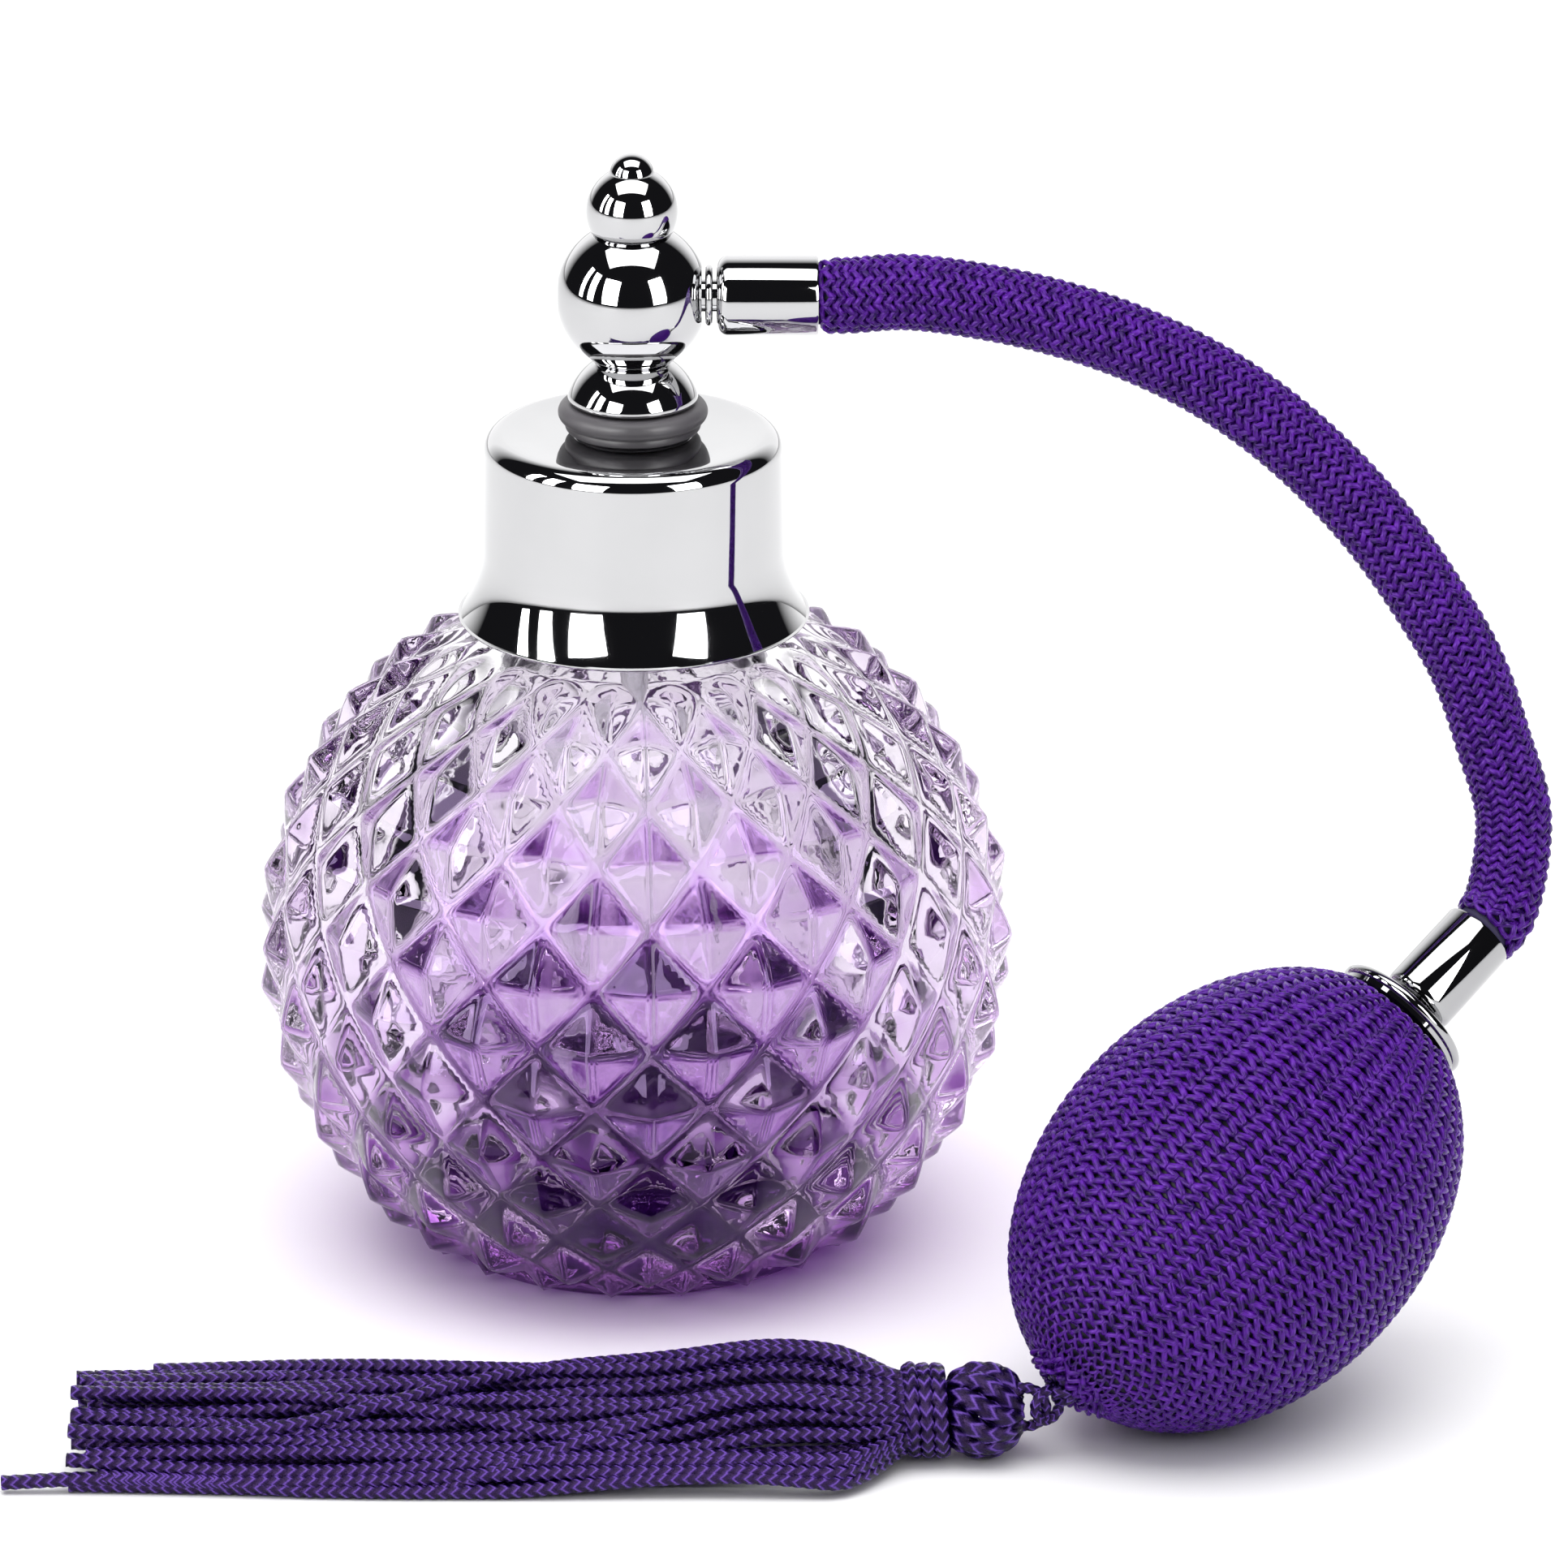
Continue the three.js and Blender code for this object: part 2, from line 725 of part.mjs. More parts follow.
const atomiser = new THREE.Group();
atomiser.name = 'perfume_atomiser';
for (const [name, build, finish] of PARTS) {
  const mesh = new THREE.Mesh(build(), new THREE.MeshStandardMaterial(FINISH[finish]));
  mesh.name = name;
  mesh.geometry.computeVertexNormals();
  atomiser.add(mesh);
}

export default atomiser;
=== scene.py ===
import json
import math
import random

import bpy
import numpy as np
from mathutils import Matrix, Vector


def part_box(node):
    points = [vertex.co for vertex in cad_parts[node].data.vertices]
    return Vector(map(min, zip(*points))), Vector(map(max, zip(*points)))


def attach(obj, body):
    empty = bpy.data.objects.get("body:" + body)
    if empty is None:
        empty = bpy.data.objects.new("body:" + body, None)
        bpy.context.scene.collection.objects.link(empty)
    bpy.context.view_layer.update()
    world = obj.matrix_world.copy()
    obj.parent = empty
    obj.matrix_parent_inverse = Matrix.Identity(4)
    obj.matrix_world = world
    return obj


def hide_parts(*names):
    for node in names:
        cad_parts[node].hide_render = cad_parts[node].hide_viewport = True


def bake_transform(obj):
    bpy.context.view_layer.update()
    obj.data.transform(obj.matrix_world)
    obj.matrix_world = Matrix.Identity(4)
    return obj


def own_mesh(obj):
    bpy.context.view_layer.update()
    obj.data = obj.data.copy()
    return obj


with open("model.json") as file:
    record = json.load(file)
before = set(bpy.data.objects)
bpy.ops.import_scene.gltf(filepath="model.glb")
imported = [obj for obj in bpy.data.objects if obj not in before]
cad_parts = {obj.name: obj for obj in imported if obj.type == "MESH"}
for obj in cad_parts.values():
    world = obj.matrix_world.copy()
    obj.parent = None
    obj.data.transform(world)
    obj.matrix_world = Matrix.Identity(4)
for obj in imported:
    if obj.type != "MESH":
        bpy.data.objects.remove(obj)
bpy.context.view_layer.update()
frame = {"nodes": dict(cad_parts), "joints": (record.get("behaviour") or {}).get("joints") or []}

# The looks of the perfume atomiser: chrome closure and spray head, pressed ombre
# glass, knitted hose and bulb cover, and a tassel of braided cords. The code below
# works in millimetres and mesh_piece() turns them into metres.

MM = 0.001
JOINTS = {joint["name"]: joint for joint in frame["joints"]}


def box_mm(node):
    low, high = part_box(node)
    return np.array(low) / MM, np.array(high) / MM


def middle_of(*nodes):
    return np.mean([np.mean(box_mm(node), axis=0) for node in nodes], axis=0)


def unit(vectors):
    return vectors / np.linalg.norm(vectors, axis=-1, keepdims=True)


def smoothstep(x):
    x = np.clip(x, 0, 1)
    return x * x * (3 - 2 * x)


# The bulb's own frame: the origin at its centre, its axis from tail to neck.
BULB_CENTRE = middle_of("thumb_panel", "finger_panel")
BULB_AXIS = unit(np.array(JOINTS["outlet_valve_lift"]["axis"]))
SQUEEZE_AXIS = unit(np.array(JOINTS["finger_squeeze"]["axis"]))
BULB_ACROSS = np.cross(BULB_AXIS, SQUEEZE_AXIS)
BULB_RADIUS = 20.1
BULB_HALF = 27.0

# The glass ball's centre height, and its radius on a diamond's tip and in a groove.
GLASS_CENTRE = 32.8
GLASS_TIP = 40.0
GLASS_GROOVE = 37.9

# A braided cord has a few plaits round it. Each is a row of stitches, of a length
# given in radii of the cord, that slant by more than one stitch across the plait.
PLAITS = 4
STITCH = 1.5
SLANT = 1.1


# ---------------------------------------------------------------- mesh code


def place_up(points):
    """Local Z stays up."""
    return points


def place_along_x(points):
    """Local Z runs along +X at the height of the spray head's ball."""
    x, y, z = np.moveaxis(points, -1, 0)
    height = middle_of("head_ball")[2]
    return np.stack([z, y, height - x], axis=-1)


def place_on_bulb(points):
    """Local Z runs along the bulb's axis from its centre, and local X is level."""
    x, y, z = (points[..., k, None] for k in range(3))
    return BULB_CENTRE + x * SQUEEZE_AXIS + y * BULB_ACROSS + z * BULB_AXIS


def mesh_piece(name, points, faces, uv, material, sharp_angle):
    """A mesh from points in millimetres and arrays of triangles or quads."""
    mesh = bpy.data.meshes.new(name)
    sizes = np.concatenate([np.full(len(f), f.shape[1]) for f in faces])
    starts = np.concatenate([[0], np.cumsum(sizes)[:-1]])
    corners = np.concatenate([f.ravel() for f in faces])
    mesh.vertices.add(len(points))
    mesh.vertices.foreach_set("co", (points * MM).astype(np.float32).ravel())
    mesh.loops.add(len(corners))
    mesh.loops.foreach_set("vertex_index", corners.astype(np.int32))
    mesh.polygons.add(len(sizes))
    mesh.polygons.foreach_set("loop_start", starts.astype(np.int32))
    layer = mesh.uv_layers.new(name="UVMap")
    layer.data.foreach_set("uv", uv.astype(np.float32).ravel())
    mesh.update(calc_edges=True)
    mesh.shade_smooth()
    if sharp_angle:
        mesh.set_sharp_from_angle(angle=math.radians(sharp_angle))
    mesh.materials.append(material)
    piece = bpy.data.objects.new(name, mesh)
    bpy.context.scene.collection.objects.link(piece)
    return piece


def signed_volume(points, faces):
    total = 0.0
    for f in faces:
        a = points[f[:, 0]]
        for k in range(1, f.shape[1] - 1):
            total += np.einsum("ij,ij->", a, np.cross(points[f[:, k]], points[f[:, k + 1]]))
    return total


def ring_surface(rings, looped=False, uv_scale=(1.0, 1.0)):
    """The closed surface through rings (count x sides x 3): capped with fans at
    both ends, or looped back to the first ring. Returns points, faces and UVs."""
    count, sides = rings.shape[:2]
    points = rings.reshape(-1, 3)
    spans = count if looped else count - 1
    row, side = np.meshgrid(np.arange(spans), np.arange(sides), indexing="ij")
    row, side = row.ravel(), side.ravel()
    above, beside = (row + 1) % count, (side + 1) % sides
    quads = np.stack(
        [row * sides + side, row * sides + beside, above * sides + beside, above * sides + side],
        axis=1,
    )
    steps = np.linalg.norm(np.diff(rings.mean(axis=1), axis=0), axis=-1)
    along = np.concatenate([[0], np.cumsum(steps), [0]]) * uv_scale[1]
    u, u_next = side / sides * uv_scale[0], (side + 1) / sides * uv_scale[0]
    v, v_next = along[row], along[row + 1]
    uv = np.stack([u, v, u_next, v, u_next, v_next, u, v_next], axis=1)
    faces, uvs = [quads], [uv.reshape(-1, 2)]
    if not looped:
        centres = np.stack([rings[0].mean(axis=0), rings[-1].mean(axis=0)])
        points = np.concatenate([points, centres])
        around = np.arange(sides)
        first = np.stack([np.full(sides, count * sides), (around + 1) % sides, around], axis=1)
        last = (count - 1) * sides
        second = np.stack(
            [np.full(sides, count * sides + 1), last + around, last + (around + 1) % sides],
            axis=1,
        )
        faces.append(np.concatenate([first, second]))
        uvs.append(np.zeros((6 * sides, 2)))
    if signed_volume(points, faces) < 0:
        faces = [f[:, ::-1] for f in faces]
        uvs = [
            w.reshape(len(f), f.shape[1], 2)[:, ::-1].reshape(-1, 2) for w, f in zip(uvs, faces)
        ]
    return points, faces, np.concatenate(uvs)


def surface_piece(name, rings, material, looped=False, uv_scale=(1.0, 1.0), sharp_angle=None):
    points, faces, uv = ring_surface(rings, looped, uv_scale)
    return mesh_piece(name, points, faces, uv, material, sharp_angle)


def lathe(name, profile, material, place=place_up, looped=False, segments=144):
    """A profile of (radius, height) turned about local Z, then placed. A looped
    profile closes on itself, and any other is capped at its two ends."""
    radius, height = np.array(profile, float).T
    turn = np.linspace(0, 2 * np.pi, segments, endpoint=False)
    rings = np.stack(
        [
            radius[:, None] * np.cos(turn),
            radius[:, None] * np.sin(turn),
            np.repeat(height[:, None], segments, axis=1),
        ],
        axis=-1,
    )
    return surface_piece(name, place(rings), material, looped, sharp_angle=38)


def arc(centre_radius, centre_height, radius, start, end, steps):
    """Points of a profile on an arc, from one angle in degrees to another."""
    angles = np.radians(np.linspace(start, end, steps + 1))
    return [
        (centre_radius + radius * math.cos(a), centre_height + radius * math.sin(a))
        for a in angles
    ]


def centripetal(route, count):
    """A centripetal Catmull-Rom curve through the route, at even spacing."""
    route = np.array(route, float)
    before, after = 2 * route[0] - route[1], 2 * route[-1] - route[-2]
    p = np.concatenate([[before], route, [after]])
    steps_per_span = 24
    pieces = []
    for k in range(1, len(p) - 2):
        p0, p1, p2, p3 = p[k - 1], p[k], p[k + 1], p[k + 2]
        t1 = np.linalg.norm(p1 - p0) ** 0.5
        t2 = t1 + np.linalg.norm(p2 - p1) ** 0.5
        t3 = t2 + np.linalg.norm(p3 - p2) ** 0.5
        t = np.linspace(t1, t2, steps_per_span, endpoint=False)[:, None]
        a1 = p0 + (p1 - p0) * t / t1
        a2 = p1 + (p2 - p1) * (t - t1) / (t2 - t1)
        a3 = p2 + (p3 - p2) * (t - t2) / (t3 - t2)
        b1 = a1 + (a2 - a1) * t / t2
        b2 = a2 + (a3 - a2) * (t - t1) / (t3 - t1)
        pieces.append(b1 + (b2 - b1) * (t - t1) / (t2 - t1))
    return evenly(np.concatenate([*pieces, route[-1:]]), count)


def evenly(points, count):
    """As many points as asked for, at even spacing along a line of points."""
    steps = np.linalg.norm(np.diff(points, axis=0), axis=1)
    along = np.concatenate([[0], np.cumsum(steps)])
    wanted = np.linspace(0, along[-1], count)
    return np.stack([np.interp(wanted, along, points[:, k]) for k in range(3)], axis=1)


def path_length(points):
    return float(np.linalg.norm(np.diff(points, axis=0), axis=1).sum())


def carried_frames(centres):
    """Two directions across the line at each point, turning as little as they can
    from straight up at its start."""
    tangents = unit(np.gradient(centres, axis=0))
    normal = np.array([0.0, 0.0, 1.0])
    normals = np.empty_like(centres)
    for k, tangent in enumerate(tangents):
        normal = normal - tangent * normal.dot(tangent)
        normal = normal / np.linalg.norm(normal)
        normals[k] = normal
    return normals, np.cross(tangents, normals)


def swept(centres, normals, radii, sides):
    """Round rings along a line. The first corner of each ring faces against its
    normal, so the seam of the UVs is on the side that isn't seen."""
    tangents = unit(np.gradient(centres, axis=0))
    across = unit(np.cross(tangents, normals))
    up = np.cross(across, tangents)
    angle = -np.pi / 2 + 2 * np.pi * np.arange(sides) / sides
    radii = np.broadcast_to(radii, len(centres))[:, None, None]
    ring = across[:, None] * np.cos(angle)[:, None] + up[:, None] * np.sin(angle)[:, None]
    return centres[:, None] + radii * ring


# ---------------------------------------------------------------- materials


class Nodes:
    """A small helper to write a material's nodes in a few lines."""

    def __init__(self, name):
        self.material = bpy.data.materials.new(name)
        self.material.use_nodes = True
        self.tree = self.material.node_tree
        self.shader = self.tree.nodes["Principled BSDF"]

    def add(self, kind, inputs=None, **settings):
        node = self.tree.nodes.new(kind)
        for key, value in settings.items():
            setattr(node, key, value)
        for key, value in (inputs or {}).items():
            if isinstance(value, bpy.types.NodeSocket):
                self.tree.links.new(value, node.inputs[key])
            else:
                node.inputs[key].default_value = value
        return node

    def link(self, output, key):
        self.tree.links.new(output, self.shader.inputs[key])

    def set(self, **values):
        for key, value in values.items():
            self.shader.inputs[key.replace("_", " ")].default_value = value

    def noise(self, vector, scale, detail=3.0):
        inputs = {"Vector": vector, "Scale": scale, "Detail": detail}
        return self.add("ShaderNodeTexNoise", inputs).outputs["Fac"]

    def stretched(self, vector, scale):
        mapping = self.add("ShaderNodeMapping", {"Vector": vector})
        mapping.inputs["Scale"].default_value = scale
        return mapping.outputs["Vector"]

    def math(self, operation, *values):
        inputs = dict(enumerate(values))
        return self.add("ShaderNodeMath", inputs, operation=operation).outputs["Value"]

    def spread(self, value, low, high):
        inputs = {"Value": value, "From Min": 0.3, "From Max": 0.7, "To Min": low, "To Max": high}
        return self.add("ShaderNodeMapRange", inputs).outputs["Result"]

    def ramp(self, value, stops):
        node = self.add("ShaderNodeValToRGB", {"Fac": value})
        elements = node.color_ramp.elements
        for place, colour in stops[1:-1]:
            elements.new(place)
        for element, (place, colour) in zip(elements, stops):
            element.position = place
            element.color = (*colour, 1.0)
        return node.outputs["Color"]

    def bump(self, height, strength, distance):
        inputs = {"Height": height, "Strength": strength, "Distance": distance}
        self.link(self.add("ShaderNodeBump", inputs).outputs["Normal"], "Normal")

    def tint_shadow(self, colour):
        """Lamps shine through the piece and leave its colour in its shadow."""
        is_shadow = self.add("ShaderNodeLightPath").outputs["Is Shadow Ray"]
        paler = self.add("ShaderNodeGamma", {"Color": colour, "Gamma": 0.42}).outputs["Color"]
        passing = self.add("ShaderNodeBsdfTransparent", {"Color": paler}).outputs["BSDF"]
        own = self.shader.outputs["BSDF"]
        mixed = self.add("ShaderNodeMixShader", {0: is_shadow, 1: own, 2: passing})
        output = self.tree.nodes["Material Output"]
        self.tree.links.new(mixed.outputs["Shader"], output.inputs["Surface"])

    def object_coordinates(self):
        return self.add("ShaderNodeTexCoord").outputs["Object"]

    def uv(self):
        return self.add("ShaderNodeTexCoord").outputs["UV"]


def chrome(name, tint, smear):
    """Polished plating: handling smears in its roughness and a faint orange peel."""
    n = Nodes(name)
    where = n.object_coordinates()
    n.set(Metallic=1.0)
    cloud = n.noise(where, 70.0, 4.0)
    n.link(n.ramp(cloud, [(0.3, [c * 0.94 for c in tint]), (0.7, tint)]), "Base Color")
    n.link(n.spread(n.noise(where, 160.0, 6.0), 0.015, smear), "Roughness")
    n.bump(n.noise(where, 220.0, 2.0), 0.05, 0.0001)
    return n.material


def ombre_glass():
    """Pressed glass, clear at the shoulder and deep violet at the foot. Its colour is
    deeper on the diamonds, where the glass is thicker, than in the grooves: partly the
    colour of thicker glass, partly painted shade."""
    n = Nodes("ombre_glass")
    where = n.object_coordinates()
    shoulder = box_mm("diamond_relief")[1][2]
    height = n.add("ShaderNodeSeparateXYZ", {"Vector": where}).outputs["Z"]
    wander = n.noise(where, 55.0, 2.0)
    level = n.add(
        "ShaderNodeMapRange",
        {"Value": height, "From Max": shoulder * MM, "To Min": -0.03, "To Max": 0.97},
    ).outputs["Result"]
    centre = (0, 0, GLASS_CENTRE * MM)
    from_centre = n.add("ShaderNodeVectorMath", {0: where, 1: centre}, operation="DISTANCE")
    thick = n.add(
        "ShaderNodeMapRange",
        {
            "Value": from_centre.outputs["Value"],
            "From Min": GLASS_GROOVE * MM,
            "From Max": GLASS_TIP * MM,
        },
    ).outputs["Result"]
    wandering = n.math("MULTIPLY_ADD", wander, 0.07, level)
    # Partly painted shade: the tint goes deeper on the diamonds, the more the relief stands out
    # there.
    shifted = n.math("MULTIPLY_ADD", thick, -0.20, wandering)
    stops = [
        (0.0, (0.008, 0.001, 0.020)),
        (0.07, (0.06, 0.008, 0.12)),
        (0.19, (0.44, 0.24, 0.56)),
        (0.32, (0.62, 0.49, 0.71)),
        (0.60, (0.72, 0.65, 0.76)),
        (1.0, (0.84, 0.82, 0.86)),
    ]
    tint = n.ramp(shifted, stops)
    n.link(tint, "Base Color")
    n.link(n.spread(n.noise(where, 300.0, 5.0), 0.0, 0.025), "Roughness")
    n.set(Transmission_Weight=1.0, IOR=1.5, Specular_IOR_Level=0.32)
    n.set(Specular_Tint=(0.50, 0.36, 0.66, 1.0))
    n.bump(n.noise(where, 260.0, 3.0), 0.12, 0.0003)
    n.tint_shadow(tint)
    return n.material


def yarn(name, dark, light, roughness):
    """Filament yarn: fine lines along it, and small changes of shade."""
    n = Nodes(name)
    filaments = n.noise(n.stretched(n.uv(), (9.0, 0.5, 1.0)), 2.0, 3.0)
    shade = n.noise(n.object_coordinates(), 1100.0, 2.0)
    mixed = n.math("MULTIPLY", n.math("ADD", filaments, shade), 0.5)
    middle = [(a + b) / 2 for a, b in zip(dark, light)]
    n.link(n.ramp(mixed, [(0.40, dark), (0.5, middle), (0.60, light)]), "Base Color")
    n.link(n.spread(filaments, roughness - 0.08, roughness + 0.08), "Roughness")
    n.set(Specular_Tint=(0.56, 0.32, 1.0, 1.0))
    n.bump(filaments, 0.5, 0.00008)
    return n.material


def braid():
    """Braided cord. Its UVs count plaits round and stitches along the cord, so the
    colour is painted dark where the geometry dips between the stitches, as painted shade,
    and painted light on their crowns, as painted highlight."""
    n = Nodes("violet_cord")
    place = n.add("ShaderNodeSeparateXYZ", {"Vector": n.uv()})
    slant = n.math("PINGPONG", place.outputs["X"], 0.5)
    phase = n.math("MULTIPLY_ADD", slant, SLANT, place.outputs["Y"])
    crown = n.math("PINGPONG", phase, 0.5)
    filaments = n.noise(n.stretched(n.uv(), (14.0, 3.0, 1.0)), 2.0, 3.0)
    level = n.math("MULTIPLY_ADD", crown, 1.5, n.math("MULTIPLY", filaments, 0.5))
    # Painted shade near black in the dips between the stitches, and a painted highlight in the
    # light colour on their crowns.
    stops = [
        (0.40, (0.0004, 0.0001, 0.003)),
        (0.74, (0.006, 0.001, 0.042)),
        (1.0, (0.150, 0.070, 0.420)),
    ]
    n.link(n.ramp(level, stops), "Base Color")
    n.link(n.spread(filaments, 0.20, 0.34), "Roughness")
    n.set(Specular_Tint=(0.56, 0.32, 1.0, 1.0))
    n.bump(level, 0.6, 0.00015)
    return n.material


def rubber(name, colour, roughness):
    """Moulded rubber with a dusty bloom and a fine grain."""
    n = Nodes(name)
    where = n.object_coordinates()
    bloom = n.noise(where, 90.0, 5.0)
    pale = [min(1.0, c * 1.6 + 0.01) for c in colour]
    n.link(n.ramp(bloom, [(0.35, colour), (0.75, pale)]), "Base Color")
    n.link(n.spread(bloom, roughness - 0.07, roughness + 0.1), "Roughness")
    n.bump(n.noise(where, 1500.0, 2.0), 0.15, 0.0001)
    return n.material


def brushed_brass():
    n = Nodes("brass")
    where = n.object_coordinates()
    lines = n.noise(n.stretched(where, (1.0, 1.0, 12.0)), 180.0, 4.0)
    n.link(n.ramp(lines, [(0.3, (0.42, 0.27, 0.10)), (0.7, (0.62, 0.44, 0.20))]), "Base Color")
    n.link(n.spread(lines, 0.2, 0.36), "Roughness")
    n.set(Metallic=1.0)
    n.bump(lines, 0.1, 0.0001)
    return n.material


def clear_plastic():
    n = Nodes("clear_plastic")
    where = n.object_coordinates()
    haze = n.noise(where, 120.0, 4.0)
    n.link(n.ramp(haze, [(0.3, (0.86, 0.86, 0.88)), (0.7, (0.95, 0.95, 0.96))]), "Base Color")
    n.link(n.spread(haze, 0.12, 0.25), "Roughness")
    n.set(Transmission_Weight=0.85, IOR=1.49)
    n.bump(haze, 0.05, 0.0001)
    return n.material


def studio_floor():
    n = Nodes("studio_floor")
    cloud = n.noise(n.object_coordinates(), 3.0, 3.0)
    n.link(n.ramp(cloud, [(0.3, (0.86, 0.86, 0.86)), (0.7, (0.885, 0.885, 0.885))]), "Base Color")
    n.set(Roughness=0.9)
    return n.material


CHROME = chrome("chrome", (0.55, 0.55, 0.56), 0.05)
# The same chrome, tinted darker for the collar step, the lower ferrule and the flange: painted
# shade.
PAINTED_SHADE_CHROME = chrome("painted_shade_chrome", (0.42, 0.42, 0.43), 0.07)
GLASS = ombre_glass()
KNIT = yarn("violet_knit", (0.008, 0.0003, 0.050), (0.100, 0.010, 0.330), 0.28)
CORD = braid()
UNDER_KNIT = rubber("violet_under_knit", (0.010, 0.003, 0.050), 0.7)
SEAL_RUBBER = rubber("seal_rubber", (0.075, 0.070, 0.078), 0.42)
BULB_RUBBER = rubber("bulb_rubber", (0.016, 0.010, 0.038), 0.5)
BRASS = brushed_brass()
CLEAR = clear_plastic()


# ---------------------------------------------------------------- camera, light


def camera():
    """A long lens in front of the bottle, looking a little down on it."""
    data = bpy.data.cameras.new("camera")
    data.lens = 261.6
    data.sensor_width = 36
    data.clip_end = 50
    eye = bpy.data.objects.new("camera", data)
    eye.location = (0.01564, -1.1185, 0.46778)
    eye.rotation_euler = (math.radians(69.5), 0, 0)
    bpy.context.scene.collection.objects.link(eye)
    bpy.context.scene.camera = eye


def softbox(name, azimuth, elevation, width, height, radiance, mirrored=True, lights=True):
    """A rectangular lamp that faces the object, mirrored in gloss and glass, or
    lighting matt surfaces, or both. Azimuth 0 is the camera's side."""
    distance, aim_height = 1.6, 0.08
    turn, rise = math.radians(azimuth), math.radians(elevation)
    data = bpy.data.lights.new(name, "AREA")
    data.shape = "RECTANGLE"
    data.size, data.size_y = width, height
    data.energy = radiance * math.pi * width * height
    lamp = bpy.data.objects.new(name, data)
    lamp.location = (
        distance * math.sin(turn) * math.cos(rise),
        -distance * math.cos(turn) * math.cos(rise),
        aim_height + distance * math.sin(rise),
    )
    lamp.rotation_euler = (math.radians(90) - rise, 0, turn)
    lamp.visible_glossy = mirrored
    lamp.visible_diffuse = lights
    bpy.context.scene.collection.objects.link(lamp)


def floor():
    """A pale slab, 8 m across and 20 mm thick, with its top at height 0."""
    half_side, thickness = 4000.0, 20.0
    corners = half_side * np.array([(-1, -1), (1, -1), (1, 1), (-1, 1)])
    rings = [np.column_stack([corners, np.full(4, z)]) for z in (-thickness, 0.0)]
    slab = surface_piece("floor", np.array(rings), studio_floor(), sharp_angle=30)


def lamps():
    """Bright panes that gloss and glass mirror, dim ones in the same places that
    light the matt surfaces, and two broad panels above."""
    panes = [
        ("pane_left_far", -84, 0.20),
        ("pane_left_middle", -66, 0.30),
        ("pane_left_near", -34, 0.70),
        ("pane_right", 43, 0.62),
    ]
    for name, azimuth, width in panes:
        softbox(name, azimuth, 20, width, 1.05, 9.0, lights=False)
        softbox(name + "_fill", azimuth, 20, width, 1.05, 1.2, mirrored=False)
    softbox("top_panel", 0, 83, 2.0, 1.1, 3.0)
    softbox("ceiling", 0, 80, 4.4, 4.4, 1.25, mirrored=False)


def surroundings():
    """White behind the object, and nearly black everywhere else."""
    world = bpy.data.worlds.new("studio")
    world.use_nodes = True
    tree = world.node_tree
    direction = tree.nodes.new("ShaderNodeTexCoord").outputs["Generated"]
    split = tree.nodes.new("ShaderNodeSeparateXYZ")
    fade = tree.nodes.new("ShaderNodeMapRange")
    ramp = tree.nodes.new("ShaderNodeValToRGB")
    fade.inputs["From Min"].default_value = 0.55
    fade.inputs["From Max"].default_value = 0.85
    ramp.color_ramp.elements[0].color = (0.012, 0.012, 0.014, 1)
    ramp.color_ramp.elements[1].color = (1.45, 1.45, 1.45, 1)
    tree.links.new(direction, split.inputs["Vector"])
    tree.links.new(split.outputs["Y"], fade.inputs["Value"])
    tree.links.new(fade.outputs["Result"], ramp.inputs["Fac"])
    tree.links.new(ramp.outputs["Color"], tree.nodes["Background"].inputs["Color"])
    bpy.context.scene.world = world
    bpy.context.scene.view_settings.view_transform = "Standard"


# ---------------------------------------------------------------- knitting


def knit_line(surface, wales, courses, half_height, sway, depth, samples):
    """One yarn knitted round and round a surface, as stocking stitch: a loop for
    each wale of each course. surface(along, turn, lift) gives points for arrays of
    the share of the length, the angle round it and the height above it."""
    loops = wales * courses
    t = 2 * np.pi * np.arange(loops * samples + 1) / samples
    place = t / (2 * np.pi)
    turn = (place + sway * np.sin(2 * t)) * 2 * np.pi / wales
    along = (place / wales + half_height * (1 + np.cos(t))) / (courses + 2 * half_height)
    lift = -depth * np.cos(2 * t)
    return surface(along, turn, lift)


def hose_surface(line, radius):
    normals, sides = carried_frames(line)
    share = np.linspace(0, 1, len(line))

    def at(along, turn, lift):
        centre, normal, side = (
            np.stack([np.interp(along, share, values[:, k]) for k in range(3)], axis=1)
            for values in (line, normals, sides)
        )
        out = unit(normal * np.cos(turn)[:, None] + side * np.sin(turn)[:, None])
        return centre + out * (radius + lift)[:, None], out

    return at


def bulb_surface(radius, half, first, last):
    """The egg between two angles of its outline, from its neck to its tail."""
    angles = np.radians(np.linspace(first, last, 400))
    outline = np.stack([radius * np.cos(angles), half * np.sin(angles)], axis=1)
    steps = np.linalg.norm(np.diff(outline, axis=0), axis=1)
    share = np.concatenate([[0], np.cumsum(steps)]) / steps.sum()

    def at(along, turn, lift):
        angle = np.interp(along, share, angles)
        slope = unit(np.stack([np.cos(angle) / radius, np.sin(angle) / half], axis=1))
        level = radius * np.cos(angle) + slope[:, 0] * lift
        height = half * np.sin(angle) + slope[:, 1] * lift
        cos, sin = np.cos(turn), np.sin(turn)
        local = np.stack([level * cos, level * sin, height], axis=1)
        out = np.stack([slope[:, 0] * cos, slope[:, 0] * sin, slope[:, 1]], axis=1)
        return place_on_bulb(local), place_on_bulb(out) - BULB_CENTRE

    return at


# ---------------------------------------------------------------- hose


